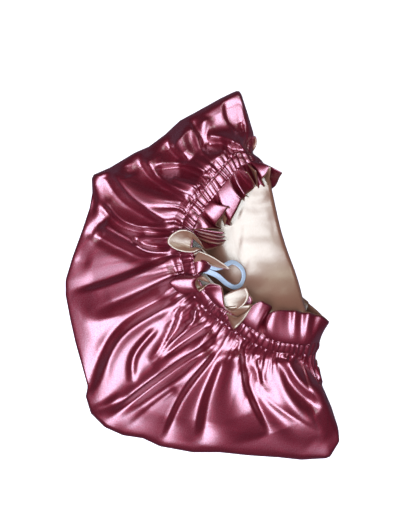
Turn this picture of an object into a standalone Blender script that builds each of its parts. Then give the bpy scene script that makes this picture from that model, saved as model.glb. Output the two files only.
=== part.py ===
"""A double-layer satin sleep bonnet, laid on its side on a table.

Two round pieces of satin, a rose face and a champagne lining, are sewn together at the edge. An elastic
in a stitched casing gathers them 25 mm inside that edge, so the middle puffs into a crown and the edge
stands as a ruffle. The far side of the crown has flopped over its own rim, lining side up, and a loop of
the flat elastic comes out of the casing.

X runs across the table, Y along it and Z up. All sizes below are in millimetres.
"""

import bmesh
import bpy
import numpy as np

MM = 0.001

# Cloth
FACE_THICK = 1.0
LINING_THICK = 1.0
PLY_GAP = 0.4
SEAM_GAP = 1.4  # between the crown's rim, the casing and the ruffle

# Elastic casing: a stitched half-inch channel round the whole rim
CASING_WIDTH = 12.5
CASING_PROUD = 0.7
CASING_DEPTH = 3.7
CASING_CROWN = 0.6  # how much its middle is thicker than its edges, on each side
CASING_GATHERS = 48
GATHER_DEPTH = 0.45

# Ruffle: one inch of both plies beyond the casing
RUFFLE_DEPTH = 25.0
RUFFLE_SPRING = 9.0  # how far the ruffle leaves the casing in line before it bends
RUFFLE_ROWS = (0.0, 0.12, 0.55, 1.0)  # shares of the way from the casing to the sewn edge

# Loop of flat elastic pulled out of the casing
ELASTIC_WIDTH = 4.6
ELASTIC_THICK = 1.6

# The stack under the flopped side: rim wall on the table, then the fold's back, then the panel
STACK_BACK = 8.7
STACK_PANEL = 12.0

CENTRE = (-2.0, 8.0)  # of the round pieces, flat on the table

# Shape of a section on the side that shows
BELLY_AT = 0.5  # the lower layer's knot, as a share of the way from the centre to the edge
FOLD_FALL = 1.3  # how far the edge fold's bends stand from the edge, in rolls
SHOULDER_AT, SHOULDER_RISE = 0.22, 0.62  # shares of the way to the rim and of the rise to the puff
CREST_AT = 0.52
BEFORE_RIM, BEFORE_RIM_SHARE = 9.0, 0.28
SHORT_SPAN = 40.0  # nearer the rim than this, the wall is one plain bend

# Shape of a section on the flopped side
FOLD_BEND = 1.8  # reach of the panel's own fold
NO_FOLD_ROOM, FULL_FOLD_ROOM = 11.0, 25.0
STRAIGHT_BEHIND_RIM = 3.0

# Sections round the bag, counter-clockwise seen from above, from the upper corner of the mouth.
# edge: the outermost point of the fold. roll: half the height of that fold. rim: where the crown meets
# the casing. heading, tilt: the way the casing leaves the crown, in degrees from X and up from the table.
# puff: the height of the upper layer between edge and rim.
VISIBLE = (
    # edge_x, edge_y, roll, rim_x, rim_y, rim_z, heading, tilt, puff
    (49, 118, 6.5, 46.5, 107.5, 14, -42, 12, 13),
    (46.5, 130, 6.2, 42, 109, 22, -48, 20, 20),
    (33, 164, 5.5, 36, 110, 27, -62, 10, 24),
    (3, 151, 5.5, 25, 104, 31, -60, 2, 30),
    (-19, 138, 6.0, 15, 93, 33, -50, 0, 33),
    (-46, 115, 6.5, 6, 82, 34, -49, 0, 35),
    (-75, 100, 6.0, -3, 71, 35, -50, 0, 36),
    (-98, 90, 5.0, -11, 60, 36, -46, 5, 36),
    (-99, 63, 6.0, -17, 48, 36, -36, 12, 34),
    (-109, 34, 7.0, -19, 36, 36, -14, 18, 30),
    (-118, 9, 8.0, -20, 23, 36, 0, 24, 30),
    (-122, -14, 8.5, -18, 10, 36, 12, 26, 33),
    (-116, -50, 8.0, -15, -3, 36, 20, 28, 33),
    (-106, -89, 7.5, -9, -15, 35, 32, 30, 31),
    (-103, -113, 6.5, -1, -26, 35, 42, 30, 30),
    (-87, -137, 6.5, 9, -36, 34, 52, 30, 30),
    (-53, -147, 7.0, 22, -45, 33, 56, 28, 31),
    (-19, -158, 7.5, 36, -55, 32, 58, 28, 32),
    (17, -161, 8.0, 49, -63, 30, 62, 28, 32),
    (54, -163, 8.5, 63, -69, 28, 72, 28, 33),
    (89, -166, 8.5, 78, -71, 26, 82, 30, 31),
    (115, -164, 7.5, 88, -72, 23, 84, 34, 26),
    (124, -146, 7.0, 95, -72, 21, 80, 32, 21),
    (111, -104, 6.5, 99.5, -71.5, 18, 76, 24, 15),
    (104.5, -83, 6.5, 102.5, -71, 12.5, 74, 12, 13),
)

# The far side of the mouth, from the lower corner back to the upper one, flopped over its own rim.
# fold: the outermost point of the panel. tuck: how far the wall runs back behind the rim before it turns
# up to the panel. stack: how much of the full stack's height is there.
FLOPPED = (
    # fold_x, fold_y, tuck, rim_x, rim_y, rim_z, heading, tilt, stack
    (101, -72, 4, 101, -69.5, 6, 74, 4, 0.35),
    (97, -60, 4, 95.5, -67, 2.5, 74, 0, 0.8),
    (95, -49, 5, 87, -62.5, 1.5, 74, 0, 1.0),
    (92, -36, 5, 78, -57, 1.3, 68, 0, 1.0),
    (89, -22, 6, 65, -48, 1.3, 55, 0, 1.0),
    (86, -9, 8, 54, -33, 1.3, 40, 0, 1.0),
    (82, 4, 9, 45, -14, 1.3, 26, 0, 1.0),
    (76, 20, 10, 36, 11, 1.3, 14, 0, 1.0),
    (70, 39, 11, 29, 36, 1.3, 3, 0, 1.0),
    (65.5, 58, 10, 26, 58, 1.3, -8, 0, 1.0),
    (62, 74, 8, 27, 78, 1.3, -22, 0, 1.0),
    (59, 86, 6, 33, 93, 1.3, -36, 0, 1.0),
    (55, 95, 4, 39, 100, 1.5, -40, 0, 1.0),
    (51, 104, 4, 44, 104, 2.5, -42, 0, 0.8),
    (49, 110, 4, 47.5, 106, 7, -42, 4, 0.35),
)

# Near the corners of the mouth a section rounds the tucked part by way of a point on the lower layer.
DETOURS = {
    # section: (x, y)
    20: (37, -82),
    21: (43, -79),
    22: (48, -76),
    23: (52.5, -73.5),
    24: (56.5, -71),
    25: (60, -68),
    26: (64.5, -63.5),
    38: (18, 86.5),
    39: (11.5, 91),
    0: (7, 91.5),
    1: (3, 91),
    2: (-1.5, 90),
    3: (-6, 88),
}

# The lower layer is at its full height this far behind the tucked rim less the slope, and down at the reach.
RAISED_REACH, RAISED_SLOPE = 12.0, 10.0

# Folds of the upper layer, by the section number they meet at the rim, half-way and at the edge.
FOLDS = (
    # rim_at, middle_at, edge_at, rim_width, edge_width, height
    (1.9, 1.9, 2.0, 0.30, 0.50, 6.0),
    (2.7, 2.8, 3.0, 0.30, 0.45, -4.0),
    (4.0, 3.9, 4.0, 0.40, 0.50, 6.0),
    (4.9, 4.7, 4.6, 0.30, 0.45, -5.0),
    (5.5, 5.2, 5.2, 0.35, 0.30, 3.0),
    (6.5, 6.0, 5.6, 0.35, 0.40, -4.0),
    (7.8, 6.9, 6.3, 0.40, 0.60, 7.0),
    (9.6, 8.2, 7.2, 0.45, 0.45, 7.0),
    (9.9, 9.2, 8.6, 0.50, 0.80, -8.0),
    (10.5, 10.4, 10.6, 0.30, 0.45, -5.0),
    (11.1, 11.2, 11.3, 0.45, 0.65, 14.0),
    (11.8, 12.1, 12.4, 0.35, 0.45, -6.0),
    (12.8, 13.2, 14.2, 0.30, 0.40, 7.0),
    (13.4, 13.9, 14.7, 0.30, 0.35, -4.0),
    (14.2, 14.7, 15.3, 0.35, 0.45, 7.0),
    (15.4, 15.7, 15.9, 0.30, 0.35, 5.0),
    (16.0, 16.2, 16.4, 0.25, 0.30, -5.0),
    (16.8, 16.8, 16.9, 0.30, 0.35, 6.0),
    (17.4, 17.4, 17.4, 0.22, 0.25, -5.0),
    (18.2, 18.2, 18.2, 0.35, 0.45, 5.0),
    (18.8, 19.0, 19.3, 0.22, 0.22, -4.0),
    (19.3, 19.7, 20.2, 0.25, 0.35, 5.0),
    (19.9, 20.4, 21.0, 0.25, 0.30, -3.0),
    (20.8, 21.2, 21.6, 0.35, 0.40, 3.5),
)

# Ruffle edge, pleat by pleat: the section it grows from and where its sewn edge lies.
PLEATS = (
    # root_at, edge_x, edge_y, edge_z
    (0.1, 70.5, 89, 16),
    (0.9, 61, 95, 33),
    (1.7, 50, 81, 20),
    (2.5, 42, 90, 42),
    (3.4, 38, 71, 22),
    (4.3, 33, 61, 29),
    (5.0, 25, 48, 23),
    (5.8, 20, 54, 31),
    (6.5, 13, 43, 26),
    (7.4, 6, 36, 37),
    (8.3, 17, 29, 30),
    (9.1, 6, 24, 43),
    (9.9, -8, 30, 60),
    (10.6, -4, 17, 58),
    (11.3, 13, 9, 44),
    (12.1, -3, 2, 58),
    (12.8, -12, -9, 57),
    (13.6, 14, -12, 51),
    (14.4, 23, -23, 56),
    (15.2, 38, -15, 44),
    (15.8, 39, -25, 44),
    (16.6, 33, -35, 46),
    (17.3, 42, -36, 45),
    (17.8, 51, -24, 39),
    (18.1, 59, -26.5, 33),
    (18.9, 63, -34, 40),
    (19.9, 72, -32, 35),
    (20.6, 81, -32, 35),
    (21.5, 93, -34, 33),
    (22.5, 103, -36.5, 31),
    (23.4, 113, -42.5, 27),
    (24.2, 111.5, -41, 20),
    (25.0, 105, -33, 12),
    (26.2, 97, -27, 6),
)
HIDDEN_PLEATS = 6
HIDDEN_LIFT = 1.3
HIDDEN_WAVE = 0.9

# Route of the elastic loop, from the casing's inner side out over the panel and back
LOOP_ROUTE = (
    # x, y, z
    (-11, 13.6, 34.4),
    (-5, 13, 36.8),
    (3, 10.2, 37.2),
    (12, 6.2, 35),
    (19, 7.5, 31),
    (27, 11, 25.5),
    (33, 8.5, 22),
    (37, 3, 20.4),
    (37.2, -4, 20.2),
    (34, -9.5, 21),
    (29, -11, 22.8),
    (22, -7.5, 27),
    (14, -0.8, 32.5),
    (6, 2.8, 36),
    (-4, 5.2, 37),
    (-10.5, 6.8, 34.6),
)

# How finely each ply is divided, for each stretch of a section from the centre to the rim
SPOKE_CUTS = (2, 2, 1, 1, 2, 2, 2, 1)
VISIBLE_CUTS = 2
FLOPPED_CUTS = 1.25


def turned(points):
    """Unit vectors of an array of vectors."""
    lengths = np.linalg.norm(points, axis=-1, keepdims=True)
    return points / np.maximum(lengths, 1e-9)


def on_ring(rows, at):
    """A closed smooth curve through one row per section, read at section numbers."""
    rows, at = np.asarray(rows, float), np.asarray(at, float)
    first = np.floor(at).astype(int)
    share = (at - first).reshape(-1, *([1] * (rows.ndim - 1)))
    a, b, c, d = (rows[(first + step) % len(rows)] for step in (-1, 0, 1, 2))
    into, out = 0.45 * (c - a), 0.45 * (d - b)
    square, cube = share**2, share**3
    return (
        b * (2 * cube - 3 * square + 1)
        + into * (cube - 2 * square + share)
        + c * (3 * square - 2 * cube)
        + out * (cube - square)
    )


def through(knots, cuts):
    """Smooth open curves through knots, which are points by section; each stretch is cut in so many."""
    steps = np.diff(knots, axis=1)
    spans = np.linalg.norm(steps, axis=2, keepdims=True)
    ways = steps / np.maximum(spans, 1e-9)
    tangents = np.concatenate([ways[:, :1], turned(ways[:, 1:] + ways[:, :-1]), ways[:, -1:]], axis=1)
    points = [knots[:, :1]]
    for i, count in enumerate(cuts):
        for share in np.arange(1, count + 1) / count:
            square, cube = share**2, share**3
            point = (
                knots[:, i] * (2 * cube - 3 * square + 1)
                + tangents[:, i] * spans[:, i] * (cube - 2 * square + share)
                + knots[:, i + 1] * (3 * square - 2 * cube)
                + tangents[:, i + 1] * spans[:, i] * (cube - square)
            )
            points.append(point[:, None])
    return np.concatenate(points, axis=1)


def rim_rows():
    """The rim's place at each section, all the way round."""
    return np.array([row[3:6] for row in VISIBLE + FLOPPED], float)


def way_rows():
    """The way the casing leaves the crown at each section, as a vector so that it turns smoothly."""
    heading, tilt = np.radians([row[6:8] for row in VISIBLE + FLOPPED]).T
    return np.stack([np.cos(heading) * np.cos(tilt), np.sin(heading) * np.cos(tilt), np.sin(tilt)], axis=1)


def cuff_frame(at):
    """Rim points, the way the casing leaves the crown there, and the way its face looks."""
    step = 0.05
    at = np.asarray(at, float)
    rim, way = on_ring(rim_rows(), at), turned(on_ring(way_rows(), at))
    along = on_ring(rim_rows(), at + step) - on_ring(rim_rows(), at - step)
    return rim, way, turned(np.cross(along, way))


def visible_knots(row, way, detour):
    """One section of the side that shows: along the table, round the edge fold, over the top to the rim."""
    edge_x, edge_y, roll, rim_x, rim_y, rim_z, _, _, puff = row
    centre = np.array([*CENTRE, 0.0])
    edge = np.array([edge_x, edge_y, 0.0])
    rim = np.array([rim_x, rim_y, rim_z], float) - way * SEAM_GAP
    middle_under = np.array([*detour, 0.0]) if detour else centre + (edge - centre) * BELLY_AT
    outwards, back = turned(edge - middle_under), turned((rim - edge) * [1, 1, 0])
    lift = np.array([0.0, 0.0, 1.0])
    span = np.linalg.norm((rim - edge)[:2])
    before = rim - way * min(BEFORE_RIM, BEFORE_RIM_SHARE * span)
    top = edge + back * min(FOLD_FALL * roll, 0.12 * span) + lift * 2 * roll
    shoulder = edge + back * SHOULDER_AT * span + lift * (2 * roll + SHOULDER_RISE * (puff - 2 * roll))
    middle = edge + back * CREST_AT * span + lift * puff
    if span < SHORT_SPAN:
        start = edge + lift * roll
        reach = np.linalg.norm(rim - start)
        bends = (start, start + lift * min(0.6 * reach, 1.6 * roll), rim - way * 0.45 * reach, rim)
        weights = lambda t: ((1 - t) ** 3, 3 * t * (1 - t) ** 2, 3 * t**2 * (1 - t), t**3)
        top, shoulder, middle, before = (
            sum(weight * bend for weight, bend in zip(weights(t), bends)) for t in (0.2, 0.4, 0.6, 0.8)
        )
    return [
        centre,
        middle_under,
        edge - outwards * FOLD_FALL * roll,
        edge + lift * roll,
        top,
        shoulder,
        middle,
        before,
        rim,
    ]


def flopped_knots(row, way, detour):
    """One section of the far side: up on to the panel, round its fold, back under it and out to the rim.

    Where the panel hardly passes the rim there is no room for a fold, and the wall only slopes down to it.
    """
    fold_x, fold_y, tuck, rim_x, rim_y, rim_z, _, _, stack = row
    centre = np.array([*CENTRE, 0.0])
    fold = np.array([fold_x, fold_y, 0.0])
    rim = np.array([rim_x, rim_y, rim_z], float) - way * SEAM_GAP
    lift = np.array([0.0, 0.0, 1.0])
    flat_way = turned(way * [1, 1, 0])
    panel, back = STACK_PANEL * stack, STACK_BACK * stack
    radius = 0.5 * (back - rim_z)
    turn = rim * [1, 1, 0] - flat_way * tuck
    over = turn + flat_way * radius
    depth = np.linalg.norm(over - fold)
    inwards = turned(over - fold)
    folded = [
        fold + inwards * FOLD_BEND + lift * panel,
        fold + lift * 0.5 * (panel + back),
        fold + inwards * FOLD_BEND + lift * back,
        over + lift * back,
        turn + lift * 0.5 * (back + rim_z),
        over + lift * rim_z,
    ]
    falls = (
        # behind the rim, share of the fall to the rim
        (12.0, 0.0),
        (10.0, 0.1),
        (8.0, 0.32),
        (6.0, 0.6),
        (4.0, 0.85),
        (2.0, 0.97),
    )
    onto = turned(0.2 * flat_way + 0.8 * turned(rim * [1, 1, 0] - np.array([*detour, 0.0]))) if detour else flat_way
    below_rim, straight = rim * [1, 1, 0], STRAIGHT_BEHIND_RIM
    sloped = [
        below_rim - flat_way * min(far, straight) - onto * max(far - straight, 0) + lift * (panel + (rim_z - panel) * share)
        for far, share in falls
    ]
    share = min(1.0, max(0.0, (depth - NO_FOLD_ROOM) / (FULL_FOLD_ROOM - NO_FOLD_ROOM)))
    share = share * share * (3 - 2 * share)
    knots = [slope + (bent - slope) * share for slope, bent in zip(sloped, folded)]
    under = np.array([*detour, 0.0]) if detour else centre + (knots[0] * [1, 1, 0] - centre) * 0.45 + lift * panel
    return [centre, under, *knots, rim]


def section_numbers(visible_cuts, flopped_cuts):
    """Where sections are drawn: this many to each tabled one on the side that shows, and on the far side."""
    turn, whole = len(VISIBLE) - 1, len(VISIBLE) + len(FLOPPED)
    near = np.linspace(1, turn - 1, int((turn - 2) * visible_cuts) + 1)
    far = np.linspace(turn, whole, int((whole - turn) * flopped_cuts) + 1)
    return np.concatenate([near, far]) % whole


def ridge(at, rim_at, middle_at, edge_at, rim_width, edge_width, height, along):
    """Height of one fold at section numbers `at`, with `along` 0 at the edge and 1 at the rim."""
    at_edge, at_middle, at_rim = (1 - along) * (1 - 2 * along), 4 * along * (1 - along), along * (2 * along - 1)
    line = edge_at * at_edge + middle_at * at_middle + rim_at * at_rim
    width = edge_width + (rim_width - edge_width) * along
    envelope = np.clip(along / 0.18, 0, 1) * np.clip((1.12 - along) / 0.3, 0.25, 1)
    return height * envelope * np.exp(-(((at - line) / width) ** 2))


def raised(points):
    """How high the lower layer must stand to clear the tucked rim beneath it."""
    turn, whole = len(VISIBLE) - 1, len(VISIBLE) + len(FLOPPED)
    tucks = [3, *(row[2] for row in FLOPPED), 3]
    stacks = [0, *(row[8] for row in FLOPPED), 0]
    fine = np.linspace(turn, whole, 300)
    rim, way, _ = cuff_frame(fine % whole)
    way = turned(way * [1, 1, 0])
    ends = np.arange(turn, whole + 1)
    tuck, stack = np.interp(fine, ends, tucks), np.interp(fine, ends, stacks)
    line = (rim - way * tuck[:, None])[:, :2]
    offsets = points[..., None, :2] - line
    nearest = np.argmin((offsets**2).sum(axis=-1), axis=-1)
    picked = np.take_along_axis(offsets, nearest[..., None, None], axis=-2)[..., 0, :]
    inside = (picked * way[nearest][..., :2]).sum(axis=-1)
    share = np.clip((inside + RAISED_REACH) / RAISED_SLOPE, 0, 1)
    return STACK_PANEL * stack[nearest] * share * share * (3 - 2 * share)


def crown_points(at):
    """Points of the crown's face: one row of points for each section, from the centre to the rim."""
    places = np.arange(len(VISIBLE) + len(FLOPPED))
    _, ways, _ = cuff_frame(places)
    knots = [visible_knots(row, ways[i], DETOURS.get(i)) for i, row in enumerate(VISIBLE)]
    knots += [flopped_knots(row, ways[i], DETOURS.get(i)) for i, row in enumerate(FLOPPED, len(VISIBLE))]
    points = through(on_ring(np.array(knots), at), SPOKE_CUTS)
    edge_row = sum(SPOKE_CUTS[:3])
    under = points[:, : edge_row - 1]
    under[..., 2] = np.maximum(under[..., 2], raised(under))
    rows = points.shape[1]
    along = np.clip((np.arange(rows) - edge_row) / (rows - 1 - edge_row), 0, 1)[None, :]
    for fold in FOLDS:
        points[:, :, 2] += ridge(np.asarray(at)[:, None], *fold, along)
    return points


def clear_scene():
    """Removes whatever the new file starts with."""
    for old in list(bpy.data.objects):
        bpy.data.objects.remove(old)


def cloth(name, colour, roughness):
    """A plain material for the node's slot; the looks are scene.py's."""
    material = bpy.data.materials.new(name)
    material.use_nodes = True
    shader = material.node_tree.nodes["Principled BSDF"]
    shader.inputs["Base Color"].default_value = (*colour, 1)
    shader.inputs["Roughness"].default_value = roughness
    shader.inputs["Metallic"].default_value = 0.0
    material.diffuse_color = (*colour, 1)
    return material


def add_node(name, mesh, material, collection):
    """Puts one piece into the bonnet's collection."""
    node = bpy.data.objects.new(name, mesh)
    mesh.materials.append(material)
    collection.objects.link(node)
    return node


def wrapped_grid(name, points, closed_pole):
    """A mesh of a grid wrapped round in its first direction and laid through points[section, row]."""
    count, rows = points.shape[:2]
    sheet = bmesh.new()
    bmesh.ops.create_grid(sheet, x_segments=count, y_segments=rows - 1, size=1)
    for corner in sheet.verts:
        i = round((corner.co.x + 1) / 2 * count) % count
        j = round((corner.co.y + 1) / 2 * (rows - 1))
        corner.co = points[i, j] * MM
    bmesh.ops.remove_doubles(sheet, verts=sheet.verts, dist=1e-6)
    bmesh.ops.triangulate(sheet, faces=sheet.faces)
    bmesh.ops.recalc_face_normals(sheet, faces=sheet.faces)
    if closed_pole:
        lowest = min(sheet.faces, key=lambda face: face.calc_center_median().length)
        if lowest.normal.z > 0:
            bmesh.ops.reverse_faces(sheet, faces=sheet.faces)
    mesh = bpy.data.meshes.new(name)
    sheet.to_mesh(mesh)
    sheet.free()
    return mesh


def inside_by(node, distance):
    """Moves a whole ply to the inside of the bag."""
    shift = node.modifiers.new("inside", "DISPLACE")
    shift.direction = "NORMAL"
    shift.mid_level = 0
    shift.strength = -distance * MM


def thicken(node, thickness):
    wall = node.modifiers.new("wall", "SOLIDIFY")
    wall.thickness = thickness * MM
    wall.offset = -1


def crown(collection, rose, champagne):
    """The face and the lining of the crown, each one closed shell with its open rim at the casing."""
    points = crown_points(section_numbers(VISIBLE_CUTS, FLOPPED_CUTS))
    face = add_node("crown_face", wrapped_grid("crown_face", points, True), rose, collection)
    thicken(face, FACE_THICK)
    lining = add_node("crown_lining", wrapped_grid("crown_lining", points, True), champagne, collection)
    inside_by(lining, FACE_THICK + PLY_GAP)
    thicken(lining, LINING_THICK)


def casing(collection, rose):
    """The gathered channel with its elastic, one closed ring along the whole rim."""
    whole = len(VISIBLE) + len(FLOPPED)
    fine = np.linspace(0, whole, 800, endpoint=False)
    rim = on_ring(rim_rows(), fine)
    travelled = np.cumsum(np.linalg.norm(np.diff(np.vstack([rim, rim[:1]]), axis=0), axis=1))
    stations = np.interp(np.linspace(0, travelled[-1], 2 * CASING_GATHERS, endpoint=False), travelled, fine + whole / 800)
    root, way, face = cuff_frame(stations % whole)
    bulge = GATHER_DEPTH * np.where(np.arange(len(stations)) % 2, 1, -1)[:, None]
    over, beneath = CASING_PROUD, CASING_PROUD - CASING_DEPTH
    profile = (
        # along the cuff, towards the face
        (0.0, over - CASING_CROWN),
        (0.5 * CASING_WIDTH, over),
        (CASING_WIDTH, over - CASING_CROWN),
        (CASING_WIDTH, beneath + CASING_CROWN),
        (0.5 * CASING_WIDTH, beneath),
        (0.0, beneath + CASING_CROWN),
    )
    rings = [root + way * across + face * (rise + (bulge if rise > 0 else -bulge * 0.5)) for across, rise in profile]
    points = np.stack(rings + rings[:1], axis=1)
    add_node("elastic_casing", wrapped_grid("elastic_casing", points, False), rose, collection)


def ruffle_points(stations):
    """Points of the ruffle's face: root, middle and sewn edge for each station."""
    whole = len(VISIBLE) + len(FLOPPED)
    root, way, face = cuff_frame(stations % whole)
    root = root + way * (CASING_WIDTH + SEAM_GAP)
    rows = np.array(PLEATS, float)
    last = rows[-1, 0]
    hidden_at = np.linspace(last, whole + rows[0, 0], 2 * HIDDEN_PLEATS + 3)[1:-1]
    hidden_root, hidden_way, _ = cuff_frame(hidden_at % whole)
    hidden = hidden_root + hidden_way * (CASING_WIDTH + SEAM_GAP + RUFFLE_DEPTH)
    hidden[:, 2] = HIDDEN_LIFT + HIDDEN_WAVE * (np.arange(len(hidden_at)) % 2 * 2)
    knots = np.vstack([rows, np.column_stack([hidden_at, hidden])])
    places = np.interp(stations, [*knots[:, 0], knots[0, 0] + whole], np.arange(len(knots) + 1))
    edge = on_ring(knots[:, 1:], places)
    bend = root + way * RUFFLE_SPRING
    shares = np.array(RUFFLE_ROWS)[None, :, None]
    return (
        root[:, None] * (1 - shares) ** 2
        + 2 * bend[:, None] * shares * (1 - shares)
        + edge[:, None] * shares**2
    )


def ruffle(collection, rose, champagne):
    """Both plies of the ruffle, pleated along their sewn edge."""
    rows = np.array(PLEATS, float)
    whole = len(VISIBLE) + len(FLOPPED)
    near = np.concatenate([np.linspace(a, b, 3, endpoint=False) for a, b in zip(rows[:-1, 0], rows[1:, 0])])
    far = np.linspace(rows[-1, 0], whole + rows[0, 0], 3 * HIDDEN_PLEATS, endpoint=False)
    points = ruffle_points(np.concatenate([near, far]))
    face = add_node("ruffle_face", wrapped_grid("ruffle_face", points, False), rose, collection)
    thicken(face, FACE_THICK)
    lining = add_node("ruffle_lining", wrapped_grid("ruffle_lining", points, False), champagne, collection)
    inside_by(lining, FACE_THICK + PLY_GAP)
    thicken(lining, LINING_THICK)


def elastic(collection, blue):
    """The loop of flat elastic, a band that lies flat along its route."""
    path = through(np.array([LOOP_ROUTE], float), [2] * (len(LOOP_ROUTE) - 1))[0]
    along = turned(np.gradient(path, axis=0))
    across = turned(np.cross(along, [0.0, 0.0, 1.0]))
    up = np.cross(across, along)
    corners = ((-1, -1), (1, -1), (1, 1), (-1, 1))
    sides = [path + across * 0.5 * ELASTIC_WIDTH * u + up * 0.5 * ELASTIC_THICK * v for u, v in corners]
    band = wrapped_grid("elastic_loop", np.array(sides), False)
    sheet = bmesh.new()
    sheet.from_mesh(band)
    bmesh.ops.holes_fill(sheet, edges=[edge for edge in sheet.edges if edge.is_boundary])
    bmesh.ops.recalc_face_normals(sheet, faces=sheet.faces)
    sheet.to_mesh(band)
    sheet.free()
    add_node("elastic_loop", band, blue, collection)


def main():
    clear_scene()
    bonnet = bpy.data.collections.new("sleep_bonnet")
    bpy.context.scene.collection.children.link(bonnet)
    rose = cloth("rose_satin", (0.36, 0.06, 0.12), 0.32)
    champagne = cloth("champagne_satin", (0.72, 0.62, 0.48), 0.36)
    crown(bonnet, rose, champagne)
    casing(bonnet, rose)
    ruffle(bonnet, rose, champagne)
    elastic(bonnet, cloth("blue_elastic", (0.42, 0.55, 0.78), 0.6))


main()
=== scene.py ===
"""Looks of the satin sleep bonnet: cloth, gathers, stitches, elastic, table and light.

The table, camera, lamps, materials and flat cloth are in metres. The bonnet's shape is in millimetres until
its meshes are made.
"""

import math

import bmesh
import bpy
import numpy as np
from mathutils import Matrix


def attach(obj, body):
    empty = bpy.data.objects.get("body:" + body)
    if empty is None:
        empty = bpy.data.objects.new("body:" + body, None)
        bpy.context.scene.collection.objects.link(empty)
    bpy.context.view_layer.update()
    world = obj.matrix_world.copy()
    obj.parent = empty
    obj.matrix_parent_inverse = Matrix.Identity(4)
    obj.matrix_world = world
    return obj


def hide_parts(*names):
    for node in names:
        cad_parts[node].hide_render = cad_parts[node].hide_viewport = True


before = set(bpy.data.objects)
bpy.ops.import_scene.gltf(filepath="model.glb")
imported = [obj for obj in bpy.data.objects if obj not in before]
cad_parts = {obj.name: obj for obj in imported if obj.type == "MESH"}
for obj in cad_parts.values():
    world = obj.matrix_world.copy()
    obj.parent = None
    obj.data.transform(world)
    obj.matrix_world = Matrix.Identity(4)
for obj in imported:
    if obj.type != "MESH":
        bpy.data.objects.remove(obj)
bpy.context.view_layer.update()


# --------------------
# Table, light and camera.
# A plain white table, seen straight from above under one broad soft window of light close to the eye, so
# that cloth that faces up shines and the steep flank of a fold is dark. A pale ceiling and a small far
# window add a little, and the table glows so that it stays white.
# --------------------

TABLE_HALF = 1.6
TABLE_GAP = 0.0004
TABLE_COLOUR = (0.9, 0.9, 0.9)
TABLE_AS_MIRRORED = (0.12, 0.11, 0.12)  # the satin mirrors a dim table, as it would among dark walls
TABLE_ROUGHNESS = 0.8
TABLE_GLOW = 0.8
VIEW_CENTRE = (-0.00135, 0.01845)
VIEW_HEIGHT = 2.2
VIEW_TALL = 0.4572
FILM_SIDE = 36.0
ROOM_COLOUR = (0.8, 0.82, 0.88)
ROOM_LIGHT = 0.03
LAMPS = (
    # name, place, side, watts, colour
    ("window", (-0.18, -0.28, 1.69), 1.4, 42, (0.9, 0.86, 1.16)),
    ("pale_ceiling", (-0.05, -0.15, 1.75), 2.2, 8, (0.92, 0.88, 1.1)),
    ("far_window", (0.5, 0.9, 1.5), 0.5, 3, (0.94, 0.95, 1.0)),
)

grid = bmesh.new()
bmesh.ops.create_grid(grid, x_segments=2, y_segments=2, size=TABLE_HALF)
bmesh.ops.translate(grid, verts=grid.verts, vec=(0, 0, -TABLE_GAP))
table = bpy.data.objects.new("table", bpy.data.meshes.new("table"))
grid.to_mesh(table.data)
grid.free()
bpy.context.scene.collection.objects.link(table)


def new_material(name):
    """A material, with its nodes, its links and its shader."""
    material = bpy.data.materials.new(name)
    material.use_nodes = True
    nodes, links = material.node_tree.nodes, material.node_tree.links
    return material, nodes, links, nodes["Principled BSDF"]


def set_inputs(node, values):
    """Gives the inputs of a node their values."""
    for socket, value in values.items():
        node.inputs[socket].default_value = value


paint, paint_nodes, paint_links, paint_shader = new_material("table_paint")
set_inputs(paint_shader, {"Base Color": (*TABLE_COLOUR, 1), "Roughness": TABLE_ROUGHNESS})
set_inputs(paint_shader, {"Emission Color": (1, 1, 1, 1), "Emission Strength": TABLE_GLOW})
dim_shader = paint_nodes.new("ShaderNodeBsdfDiffuse")
set_inputs(dim_shader, {"Color": (*TABLE_AS_MIRRORED, 1)})
seen_how = paint_nodes.new("ShaderNodeLightPath")
either = paint_nodes.new("ShaderNodeMixShader")
paint_links.new(seen_how.outputs["Is Camera Ray"], either.inputs[0])
paint_links.new(dim_shader.outputs[0], either.inputs[1])
paint_links.new(paint_shader.outputs[0], either.inputs[2])
paint_links.new(either.outputs[0], paint_nodes["Material Output"].inputs["Surface"])
table.data.materials.append(paint)

camera = bpy.data.objects.new("camera", bpy.data.cameras.new("camera"))
camera.data.sensor_width = FILM_SIDE
camera.data.lens = FILM_SIDE * VIEW_HEIGHT / VIEW_TALL
camera.data.clip_end = 20
camera.location = (*VIEW_CENTRE, VIEW_HEIGHT)
bpy.context.scene.collection.objects.link(camera)
bpy.context.scene.camera = camera

for name, (x, y, z), side, watts, colour in LAMPS:
    lamp = bpy.data.objects.new(name, bpy.data.lights.new(name, "AREA"))
    lamp.data.size = side
    lamp.data.energy = watts
    lamp.data.color = colour
    lamp.location = (x, y, z)
    lamp.rotation_euler = (math.atan2(math.hypot(x, y), z), 0, math.atan2(-y, -x) - math.pi / 2)
    lamp.visible_camera = False
    bpy.context.scene.collection.objects.link(lamp)

room = bpy.data.worlds.new("room")
room.use_nodes = True
set_inputs(room.node_tree.nodes["Background"], {"Color": (*ROOM_COLOUR, 1), "Strength": ROOM_LIGHT})
bpy.context.scene.world = room
bpy.context.scene.view_settings.view_transform = "Standard"


# --------------------
# Elastic loop.
# A flat knitted elastic band, light blue, which comes out from under the casing, lies in a loop on the
# lining and goes back under. Its edges and its fine lengthwise ribs are part of the knit.
# --------------------

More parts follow.
